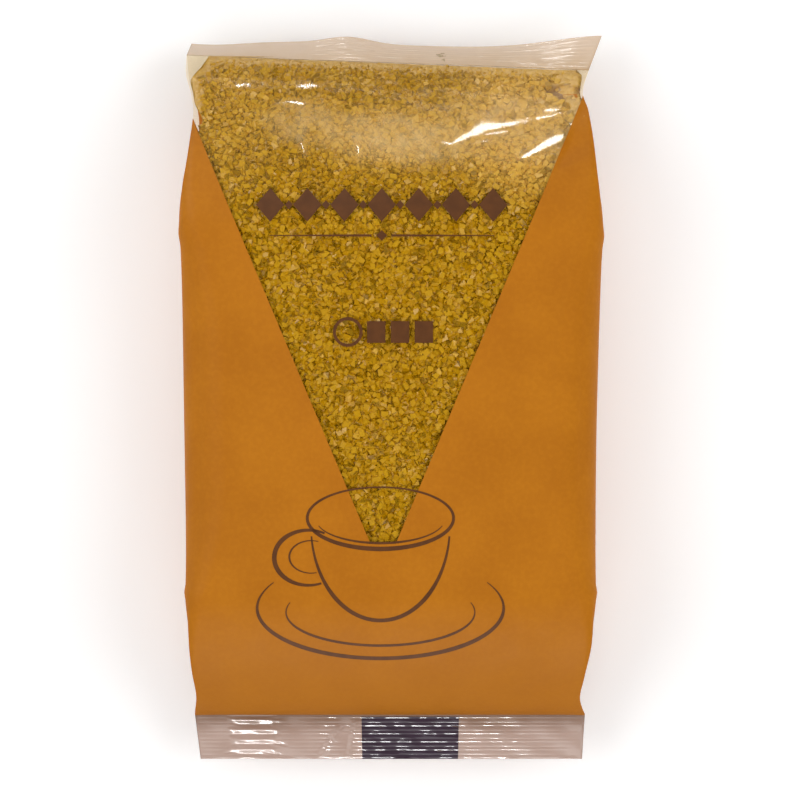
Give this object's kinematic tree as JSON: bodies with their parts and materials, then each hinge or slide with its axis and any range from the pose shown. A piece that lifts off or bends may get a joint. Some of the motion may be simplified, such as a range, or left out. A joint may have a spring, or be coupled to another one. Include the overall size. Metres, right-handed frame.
{
  "type": "sealed film pouch of brown sugar",
  "caption": "Side-gusseted clear film pouch with a matte printed front and a tapering window, filled tight with coarse brown sugar and crimped shut at both ends.",
  "frame": {"origin": "on the resting plane, under the middle of the pouch as it lies on its back", "axes": "+X across the pouch to the right of its front, +Y along it to the top seal, +Z out of its front panel"},
  "size_m": [0.103, 0.1784, 0.0446],
  "materials": {
    "printed_film": "matte orange-brown print on film, faintly mottled",
    "clear_film": "thin clear glossy film with soft creases",
    "seal_film": "hazy crimped film, pinkish grey",
    "sugar": "coarse golden brown crystals, faintly glassy",
    "brown_ink": "matte dark brown ink",
    "navy_ink": "near-black navy ink seen through ribbed film"
  },
  "bodies": {
    "root": {"pouch": "printed_film"}
  },
  "joints": []
}
